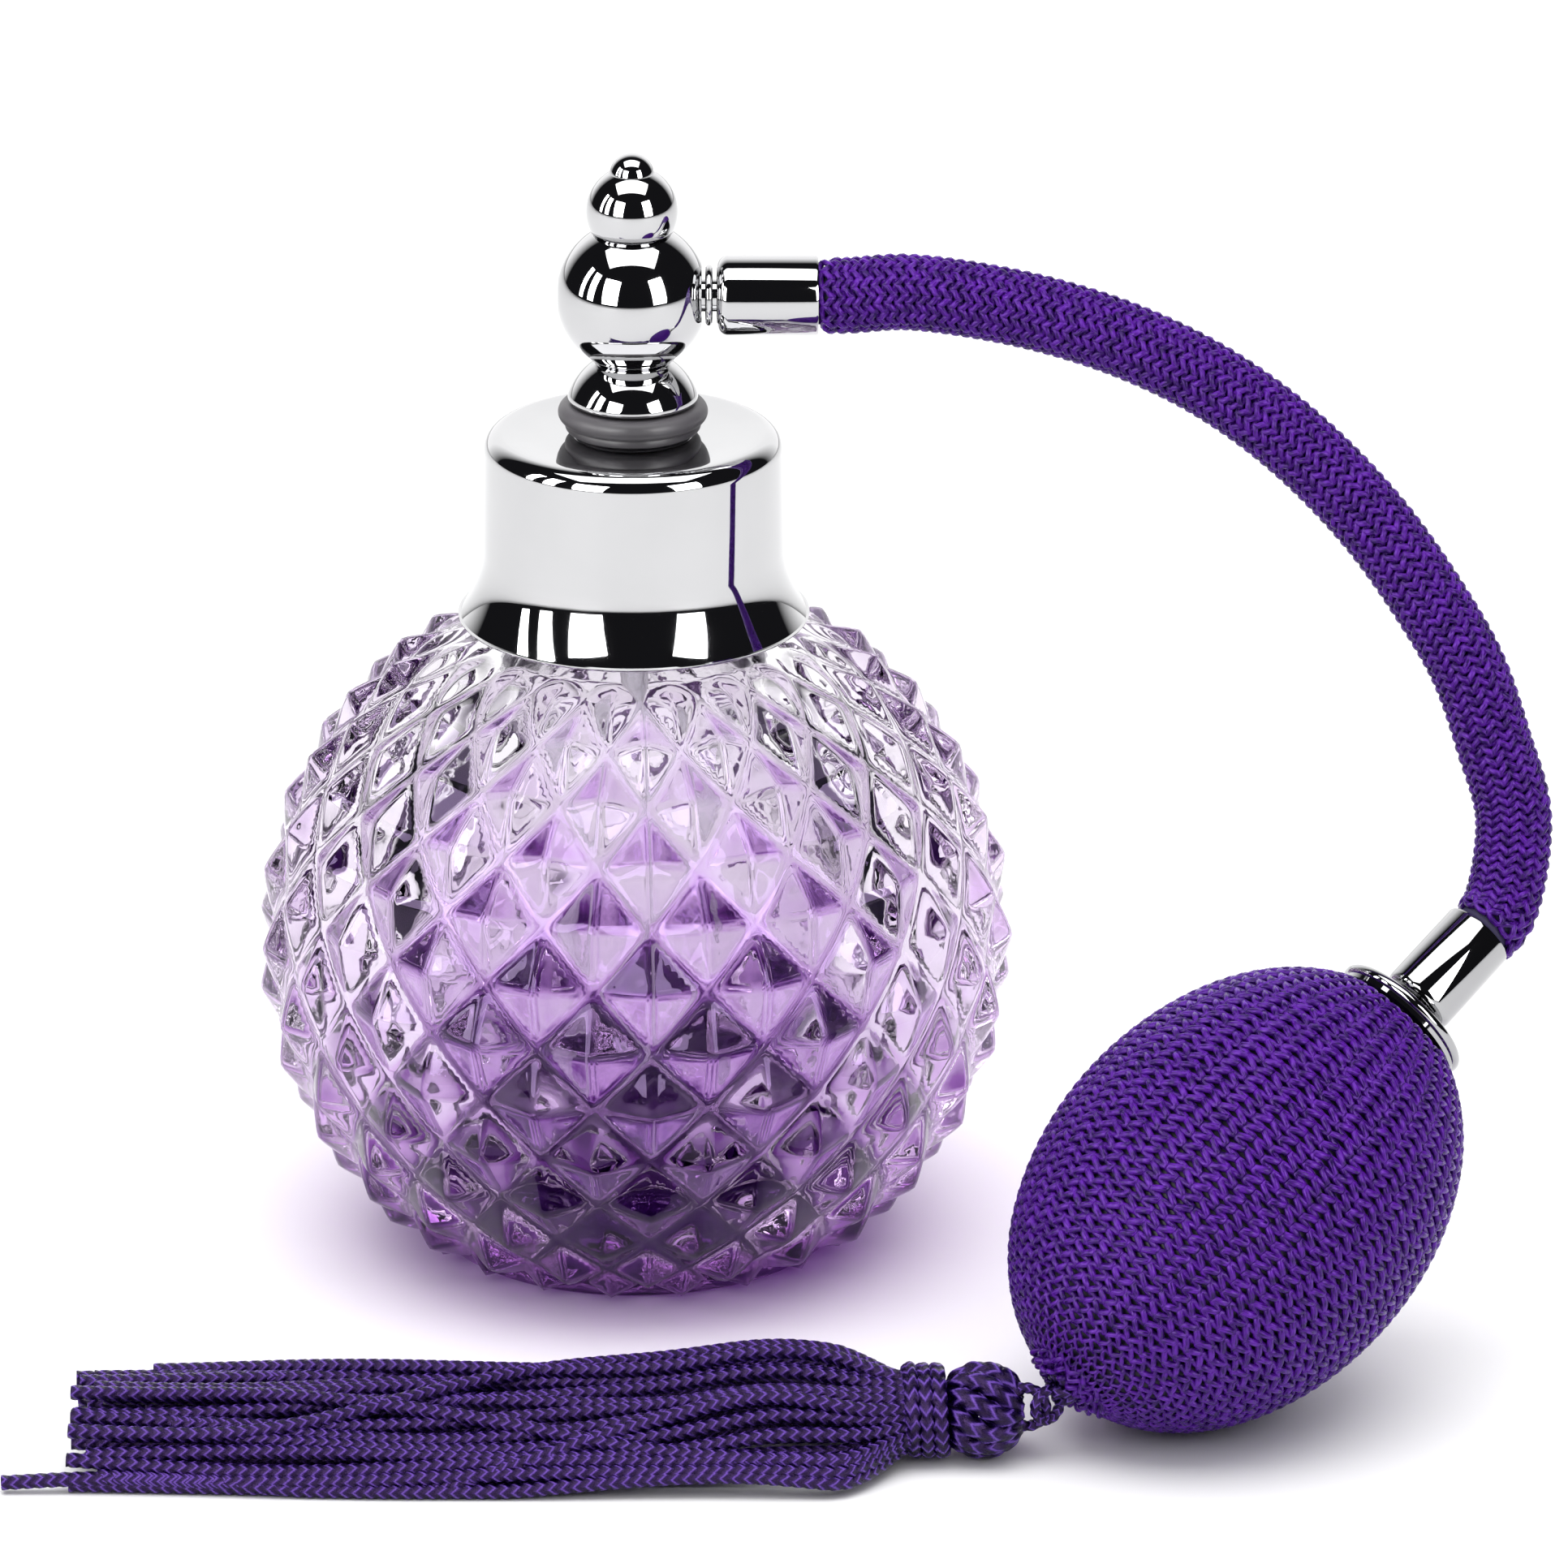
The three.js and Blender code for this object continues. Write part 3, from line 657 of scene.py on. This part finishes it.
def hose():
    """A rubber tube inside a knitted sleeve, in an arch from ferrule to ferrule."""
    mouth = box_mm("upper_ferrule")[1][0]
    height = middle_of("head_ball")[2]
    lower_end = BULB_CENTRE + BULB_AXIS * 38.4
    route = [
        (mouth, 0, height),
        (mouth + 3, 0, height),
        (28, -0.4, 103.9),
        (35.2, -1.2, 103.3),
        (43.5, -2.6, 101.9),
        (51.8, -4.5, 99.6),
        (60.1, -6.8, 96),
        (68.3, -9.8, 90.6),
        (76.5, -13.3, 82.8),
        (83.5, -16.9, 73.3),
        (86.1, -18.6, 68.7),
        (88.5, -20.6, 62),
        (90.6, -23.1, 54.5),
        tuple(lower_end + BULB_AXIS * 3),
        tuple(lower_end),
    ]
    line = centripetal(route, 240)
    tube_radius, loop_radius, yarn_radius = 3.0, 3.42, 0.34
    normals, _ = carried_frames(line)
    core = surface_piece("hose_core", swept(line, normals, tube_radius, 32), UNDER_KNIT)
    points, out = knit_line(
        hose_surface(line, loop_radius),
        wales=12,
        courses=98,
        half_height=0.68,
        sway=0.36,
        depth=0.27,
        samples=14,
    )
    knit = surface_piece("hose_knit", swept(points, out, yarn_radius, 6), KNIT)
    for piece in (core, knit):
        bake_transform(piece)
    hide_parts("hose_tube")
    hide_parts("hose_sleeve")


# ---------------------------------------------------------------- turned parts


# The bore through the parts that are stacked on the stem.
STEM_BORE = 3.1


def stand_in(piece, body, slot, *nodes):
    """Put a piece on its body in place of CAD nodes. Its slot is not used."""
    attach(piece, body)
    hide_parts(*nodes)


def collar():
    """A thin shell: a flared skirt, a straight wall, a rounded rim and a flat top."""
    low, high = box_mm("collar_shell")
    bottom, rim_z = low[2], high[2]
    flare, wall, rim, bore = 18.3, 15.7, 15.5, 3.4
    flare_height, rim_rounding, edge_rounding = 7.4, 1.9, 0.3
    wall_thickness, plate_thickness = 0.8, 1.2
    plate_z = rim_z - 0.25

    def skirt(offset):
        rise = np.linspace(0, 1, 40)
        radius = wall + (flare - wall) * (1 - rise) ** 2 - offset
        return list(zip(radius, bottom + flare_height * rise))

    profile = [
        (flare - 0.35, bottom + 0.02),
        *arc(flare - edge_rounding, bottom + edge_rounding, edge_rounding, -60, 10, 5),
        *skirt(0)[2:],
        *arc(rim - rim_rounding, rim_z - rim_rounding, rim_rounding, 0, 90, 30),
        (rim - 2.6, rim_z - 0.03),
        (rim - 4.0, plate_z + 0.1),
        (rim - 6.0, plate_z),
        (bore, plate_z),
        (bore, plate_z - plate_thickness),
        (rim - wall_thickness, plate_z - plate_thickness),
        *skirt(wall_thickness)[::-1],
    ]
    shell = lathe("collar", profile, CHROME, looped=True, segments=192)
    stand_in(shell, "closure", "chrome", "collar_shell")


def collar_step():
    low, high = box_mm("collar_boss")
    profile = [
        (STEM_BORE, low[2]),
        (6.4, low[2]),
        *arc(5.9, high[2] - 0.5, 0.5, 0, 90, 8),
        (STEM_BORE, high[2]),
    ]
    boss = lathe("collar_step", profile, PAINTED_SHADE_CHROME, looped=True)
    stand_in(boss, "closure", "chrome", "collar_boss")


def seal():
    """A fat ring of rubber on a smaller one."""
    low = box_mm("seal_ring")[0][2]
    profile = [
        (STEM_BORE, low),
        *arc(6.5, low + 0.55, 0.55, -90, 35, 10),
        *arc(6.75, low + 1.95, 1.02, -58, 90, 18),
        (STEM_BORE, low + 2.95),
    ]
    ring = lathe("seal", profile, SEAL_RUBBER, looped=True)
    stand_in(ring, "closure", "seal_rubber", "seal_ring")


def head_dome():
    low, high = box_mm("lower_dome")
    profile = [
        (STEM_BORE, low[2]),
        *arc(6.35, low[2] + 0.4, 0.4, -90, 20, 8),
        *arc(0, low[2] - 1.9, 7.2, 21, 56, 24),
        (3.95, high[2] - 0.2),
        (STEM_BORE, high[2]),
    ]
    stand_in(lathe("head_dome", profile, CHROME, looped=True), "head", "chrome", "lower_dome")


def head_sphere():
    """A ball with a small bore for the nozzle and a seat for the air pipe."""
    radius = box_mm("head_ball")[1][1]
    bore, seat, channel = 1.9, 3.4, 2.0
    bore_angle, seat_angle = (math.degrees(math.asin(r / radius)) for r in (bore, seat))
    profile = [
        (bore, -3.2),
        *arc(0, 0, radius, -90 + bore_angle, 90 - seat_angle, 72),
        (seat, 7.1),
        (channel, 7.1),
        (channel, 2.2),
    ]
    ball = lathe("head_sphere", profile, CHROME, place_along_x, segments=160)
    stand_in(ball, "head", "chrome", "head_ball")


def inlet_pipe():
    """A short pipe with a bead round it."""
    profile = [
        (0.9, 3.0),
        (1.7, 3.0),
        (1.7, 7.5),
        *arc(2.8, 7.9, 0.38, -80, 80, 10),
        (1.7, 8.3),
        (1.7, 17.0),
        (0.9, 17.0),
    ]
    inlet = lathe("inlet_pipe", profile, CHROME, place_along_x, looped=True)
    stand_in(inlet, "head", "chrome", "air_inlet")


def finial():
    ball_low = box_mm("finial_ball")[0][2]
    tip_low, tip_high = box_mm("finial_tip")
    radius = 4.75
    centre = ball_low + radius * math.sin(math.radians(26))
    profile = [
        (4.27, ball_low),
        *arc(0, centre, radius, -25, 62, 48),
        (2.25, tip_low[2] - 0.05),
    ]
    stand_in(lathe("finial_sphere", profile, CHROME), "finial", "chrome", "finial_ball")
    button = 2.35
    profile = arc(0, tip_high[2] - button, button, -25, 88, 40)
    stand_in(lathe("finial_button", profile, CHROME), "finial", "chrome", "finial_tip")


def ferrule_profile(radius, start):
    """A cup with a rounded back, open to the hose and to the pipe at its back."""
    length, rounding, floor_depth = 10.5, 1.2, 1.3
    pipe_bore, hose_bore = 2.0, 3.0
    return [
        (pipe_bore, start),
        *arc(radius - rounding, start + rounding, rounding, -90, 0, 16),
        (radius, start + length - 0.25),
        (radius - 0.12, start + length),
        (hose_bore, start + length),
        (hose_bore, start + floor_depth),
        (pipe_bore, start + floor_depth),
    ]


def ferrules():
    profile = ferrule_profile(4.15, box_mm("upper_ferrule")[0][0])
    upper = lathe("ferrule_upper", profile, CHROME, place_along_x, looped=True)
    stand_in(upper, "head", "chrome", "upper_ferrule")
    profile = ferrule_profile(3.9, BULB_HALF + 0.8)
    lower = lathe("ferrule_lower", profile, PAINTED_SHADE_CHROME, place_on_bulb, looped=True)
    stand_in(lower, "bulb", "chrome", "lower_ferrule")


def flange():
    low = BULB_HALF - 2
    profile = [
        (2.0, low),
        (7.2, low),
        *arc(6.95, low + 1.0, 0.65, -60, 80, 14),
        (6.2, low + 1.75),
        (4.6, low + 2.1),
        (4.1, low + 2.5),
        (2.0, low + 2.5),
    ]
    ring = lathe("flange", profile, PAINTED_SHADE_CHROME, place_on_bulb, looped=True)
    stand_in(ring, "bulb", "chrome", "bulb_flange")


# ---------------------------------------------------------------- bottle


def diamonds(column, row):
    """Height of the pressed relief, from 0 in the grooves to 1 on a diamond's tip.
    Tips sit on whole rows, shifted by half a column from row to row."""
    first, second = column + row / 2, column - row / 2
    a = 2 * np.abs(first - np.round(first))
    b = 2 * np.abs(second - np.round(second))
    ridge_sharpness, tip_rounding, flat_groove, fillet = 9, 0.05, 0.03, 0.05
    edge = (a**ridge_sharpness + b**ridge_sharpness) ** (1 / ridge_sharpness)
    edge = np.sqrt(edge**2 + tip_rounding**2)
    rise = 1 - edge - flat_groove
    return np.clip(0.5 * (rise + np.sqrt(rise**2 + fillet**2)), 0, 1)


def bottle():
    """One skin from the middle of the foot, over the diamonds and the neck's lip, and
    down inside to the bottom of the hollow."""
    columns = 20
    around, per_row = columns * 18, 9
    # Degrees of latitude of a row and between rows, and the turn of the whole ball.
    lowest_row, row_step, turn_shift = -46.0, 9.64, 3.2
    turn = 2 * np.pi * np.arange(around) / around
    column = turn / (2 * np.pi) * columns
    rows = np.arange(-1.0, 11.45, 1 / per_row)
    # The diamonds end sharply at the foot and sink slowly into the shoulder.
    fade = smoothstep((rows + 1.0) / 0.2) * smoothstep((11.5 - rows) / 1.6)
    relief = diamonds(column[None, :], rows[:, None]) * fade[:, None]
    radius = GLASS_GROOVE + (GLASS_TIP - GLASS_GROOVE) * relief
    latitude = np.radians(lowest_row + rows * row_step)[:, None]
    angle = turn + math.radians(turn_shift)

    def rings(level, height):
        level, height = (np.broadcast_to(v, (len(level), around)) for v in (level, height))
        return np.stack([level * np.cos(angle), level * np.sin(angle), height], axis=-1)

    def plain(profile):
        level, height = np.array(profile, float).T
        return rings(level[:, None], height[:, None])

    body = rings(radius * np.cos(latitude), GLASS_CENTRE + radius * np.sin(latitude))
    foot = [(2, 1.6), (10, 1.2), (17.5, 0.5), (18.6, 0.08), (19.6, 0.0), (20.6, 0.1), (21.2, 0.5)]
    neck = [
        (15.0, 68.0),
        (10.4, 69.2),
        (9.6, 70.2),
        (9.6, 83.2),
        *arc(8.8, 83.2, 0.8, 10, 90, 6),
        *arc(7.5, 83.5, 0.5, 90, 180, 5),
        (7.0, 72.0),
    ]
    hollow_radius, hollow_centre, throat = 29.5, 34.6, 7.6
    throat_angle = math.degrees(math.acos(throat / hollow_radius))
    cavity = [(7.1, 65.0), *arc(0, hollow_centre, hollow_radius, throat_angle, -88, 60)]
    skin = np.concatenate([plain(foot), body, plain(neck), plain(cavity)])
    piece = surface_piece("pressed_bottle", skin, GLASS)
    stand_in(piece, "bottle", "ombre_glass", "bottle_glass", "bottle_neck", "diamond_relief")


# ---------------------------------------------------------------- bulb


def bulb():
    """A rubber egg inside its knitted cover. The cover is one line of yarn, cut into
    bands to keep each mesh small."""
    inset = 1.05
    outline = [
        ((BULB_RADIUS - inset) * math.cos(a), (BULB_HALF - inset) * math.sin(a))
        for a in np.radians(np.linspace(72, -89, 90))
    ]
    rubber_egg = lathe("bulb_core", outline, BULB_RUBBER, place_on_bulb)
    yarn_radius, depth = 0.38, 0.2
    lifted = bulb_surface(
        BULB_RADIUS - yarn_radius - depth, BULB_HALF - yarn_radius - depth, 69, -86
    )
    wales = 36
    points, out = knit_line(
        lifted, wales, courses=46, half_height=0.58, sway=0.34, depth=depth, samples=16
    )
    level = np.linalg.norm(np.cross(points - BULB_CENTRE, BULB_AXIS), axis=1)
    radii = np.clip(level * 2 * np.pi / wales * 0.15, 0.17, yarn_radius)
    bands = 4
    band = len(points) // bands
    pieces = []
    for k in range(bands):
        span = slice(k * band, len(points) if k == bands - 1 else (k + 1) * band + 1)
        rings = swept(points[span], out[span], radii[span], 8)
        pieces.append(surface_piece(f"bulb_knit_{k + 1}", rings, KNIT))
    for piece in (rubber_egg, *pieces):
        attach(piece, "bulb")
        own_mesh(piece)
    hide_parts("bulb_rubber")
    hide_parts("bulb_cover", "thumb_panel", "finger_panel")


# ---------------------------------------------------------------- tassel


def braided(centres, radius, sides):
    """Rings of a braided cord, drawn in between the stitches and the plaits."""
    normals, _ = carried_frames(centres)
    rings = swept(centres, normals, radius, sides)
    steps = np.linalg.norm(np.diff(centres, axis=0), axis=1)
    along = np.concatenate([[0], np.cumsum(steps)])[:, None]
    share = (np.arange(sides) / sides * PLAITS) % 1
    slant = np.minimum(share, 1 - share)
    crown = np.abs(np.sin(np.pi * (along / (radius * STITCH) + SLANT * slant)))
    seam = np.sin(np.pi * np.clip(share, 0.1, 0.9)) ** 0.5
    dip = 0.26
    height = 1 - dip * (1 - crown * seam)
    return centres[:, None] + (rings - centres[:, None]) * height[..., None]


def cord_piece(name, route, radius, body, node=None, sides=16, spacing=0.22):
    """A braided cord along a route, and the even line that it follows."""
    count = max(12, int(path_length(np.array(route)) / spacing))
    centres = evenly(np.array(route, float), count)
    rings = braided(centres, radius, sides)
    uv_scale = (PLAITS, 1 / (radius * STITCH))
    piece = surface_piece(name, rings, CORD, uv_scale=uv_scale)
    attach(piece, body)
    if node:
        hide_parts(node)
    return piece, centres


STRAND_RADIUS = 0.82


def strand_routes(rng):
    """Where each strand of the tassel lies: round the binding, then in a low mound
    on the table, with the last few wandering over the top of the others."""
    head = middle_of("tassel_head")
    spread_y = middle_of("tassel_skirt")[1]
    start_x = box_mm("tassel_binding")[1][0] - 0.6
    end_x = box_mm("tassel_skirt")[0][0]
    # Strands in a shell, then its half width, its height and its radius when bound.
    shells = [
        (18, 12.3, 6.0, 3.0),
        (10, 9.0, 3.8, 1.7),
        (5, 5.5, 1.9, 0.5),
        (5, 12.0, 7.3, 3.2),
    ]
    routes = []
    for shell, (count, half_width, height, bound) in enumerate(shells):
        wandering = shell == len(shells) - 1
        for k in range(count):
            share = (k + 0.5) / count
            end = end_x + 0.5 + 11.0 * rng.random() ** 2
            if shell == 0 and k == 0:
                end = end_x - 6.0
            phase, swing = rng.uniform(0, 6.28), rng.uniform(0.02, 0.045)
            x = np.linspace(start_x, end, 60)
            # Its place in the shell: 0 at the front edge, 1 at the back edge.
            place = share + swing * np.sin(x / rng.uniform(8, 14) + phase) + 0.02 * np.sin(x / 21)
            if wandering:
                drift = 0.34 * (-1) ** k + rng.uniform(-0.12, 0.12)
                place = place + drift * smoothstep((16 - x) / 60)
            turn = np.pi * np.clip(place, 0, 1)
            bound_turn = np.pi * (1.75 * share - 0.375)
            # From 0 inside the binding to 1 where the shell has opened out.
            spread = np.sin(np.pi / 2 * np.clip((start_x - 2.6 - x) / 9, 0, 1)) ** 1.3
            # The mound is highest just past the binding and gets slimmer to its end.
            slimmer = 1 - 0.12 * smoothstep((-20 - x) / 40)
            bulge = 1 + 0.28 * np.exp(-(((x - 15) / 9) ** 2)) - 0.12 * smoothstep((10 - x) / 60)
            y_bound = head[1] - bound * math.cos(bound_turn)
            z_bound = head[2] + bound * math.sin(bound_turn)
            y_spread = spread_y - half_width * slimmer * np.cos(turn)
            z_spread = STRAND_RADIUS + height * bulge * np.sin(turn)
            y = y_bound + (y_spread - y_bound) * spread
            z = z_bound + (z_spread - z_bound) * spread
            routes.append(np.stack([x, y, z], axis=1))
    return routes


def tassel_skirt():
    rng = random.Random(7)
    for k, route in enumerate(strand_routes(rng)):
        node = "tassel_skirt" if k == 0 else None
        strand, centres = cord_piece(f"strand_{k + 1}", route, STRAND_RADIUS, "tassel", node)


def tassel_binding():
    """Three turns of thick cord round the strands, side by side."""
    low, high = box_mm("tassel_binding")
    centre = (low + high) / 2
    pitch = (high[0] - low[0]) / 3
    turns = 3.0
    t = np.linspace(0, 2 * np.pi * turns, 260)
    radius = 4.05 + 0.1 * np.sin(3.1 * t)
    x = low[0] + pitch * (0.1 + 0.93 * t / (2 * np.pi))
    route = np.stack([x, centre[1] + radius * np.cos(t), centre[2] + radius * np.sin(t)], axis=1)
    cord_piece("binding_cord", route, 0.9, "tassel", "tassel_binding", sides=20)


def tassel_head():
    """The strands folded over into a ball: cords run from the binding over the
    ball and in to where the loop comes out."""
    low, high = box_mm("tassel_head")
    centre = (low + high) / 2
    half, radius = (high[0] - low[0]) / 2, (high[2] - low[2]) / 2 - 1.0
    cords = 11
    cord_radius = 1.15
    along = np.linspace(0, 1, 40)
    angle = np.radians(20 + 136 * along)
    for k in range(cords):
        level = radius * np.sin(angle) ** 0.8
        turn = 2 * np.pi * k / cords + 0.7 * along + 0.12 * np.sin(5 * along + k)
        route = np.stack(
            [
                centre[0] - 1.12 * half * np.cos(angle),
                centre[1] + level * np.cos(turn),
                centre[2] + level * np.sin(turn),
            ],
            axis=1,
        )
        node = "tassel_head" if k == 0 else None
        cord_piece(f"head_cord_{k + 1}", route, cord_radius, "tassel", node)


def ring_route(centre, across, up, radius):
    """A ring of cord whose ends just pass each other."""
    t = np.linspace(0, 2 * np.pi * 1.02, 60)[:, None]
    return centre + radius * (across * np.cos(t) + up * np.sin(t))


def tassel_link():
    """The loop of the tassel through the eye of cord at the bulb's tail."""
    loop_low, loop_high = box_mm("tassel_loop")
    loop_centre = (loop_low + loop_high) / 2
    head = middle_of("tassel_head")
    eye_centre = middle_of("end_eye")
    towards = unit(head - eye_centre)
    level = unit(np.cross(towards, [0, 0, 1.0]))
    upright = np.cross(level, towards)
    route = ring_route(loop_centre, towards, upright, 2.1)
    cord_piece("loop_cord", route, 0.62, "tassel", "tassel_loop", sides=14, spacing=0.2)
    route = ring_route(eye_centre, BULB_AXIS, BULB_ACROSS, 1.6)
    cord_piece("eye_cord", route, 0.6, "bulb", "end_eye", sides=14, spacing=0.2)


def bulb_tail():
    """The knot that closes the cover at the tail, and its gathered edge."""
    tail = BULB_CENTRE - BULB_AXIS * (BULB_HALF - 0.4)
    for k in range(3):
        tilt = k * np.pi / 3
        up = BULB_ACROSS * math.cos(tilt) + BULB_AXIS * math.sin(tilt)
        route = ring_route(tail, SQUEEZE_AXIS, up, 1.5)
        cord_piece(f"tail_knot_{k + 1}", route, 0.62, "bulb", sides=14, spacing=0.2)
    for k in range(3):
        t = np.linspace(0, 2 * np.pi, 220)
        level = 2.6 + 0.9 * k + 0.35 * np.sin(11 * t + k)
        height = -BULB_HALF + 0.2 + 0.42 * k + 0.3 * np.sin(13 * t + 2 * k)
        local = np.stack([level * np.cos(t), level * np.sin(t), height], axis=1)
        out = unit(place_on_bulb(local) - BULB_CENTRE)
        frill = surface_piece(f"tail_frill_{k + 1}", swept(place_on_bulb(local), out, 0.3, 8), KNIT)
        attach(frill, "bulb")


# ---------------------------------------------------------------- scene


def paint_cad_nodes():
    """The small parts that keep their CAD shape get their finish here."""
    finishes = {
        "neck_gasket": CLEAR,
        "threaded_insert": CLEAR,
        "liner_disc": CLEAR,
        "spray_nozzle": BRASS,
        "siphon_stem": BRASS,
        "dip_tube": CLEAR,
        "finial_stud": BRASS,
        "neck_barb": BRASS,
        "outlet_valve_cage": BRASS,
        "outlet_valve_disc": CLEAR,
        "intake_valve_cage": BRASS,
        "intake_valve_disc": CLEAR,
    }
    for node, material in finishes.items():
        mesh = frame["nodes"][node].data
        mesh.materials.clear()
        mesh.materials.append(material)


camera()
hose()
tassel_skirt()
floor()
lamps()
surroundings()
collar()
collar_step()
seal()
head_dome()
head_sphere()
inlet_pipe()
finial()
ferrules()
flange()
bottle()
bulb()
tassel_binding()
tassel_head()
tassel_link()
bulb_tail()
paint_cad_nodes()
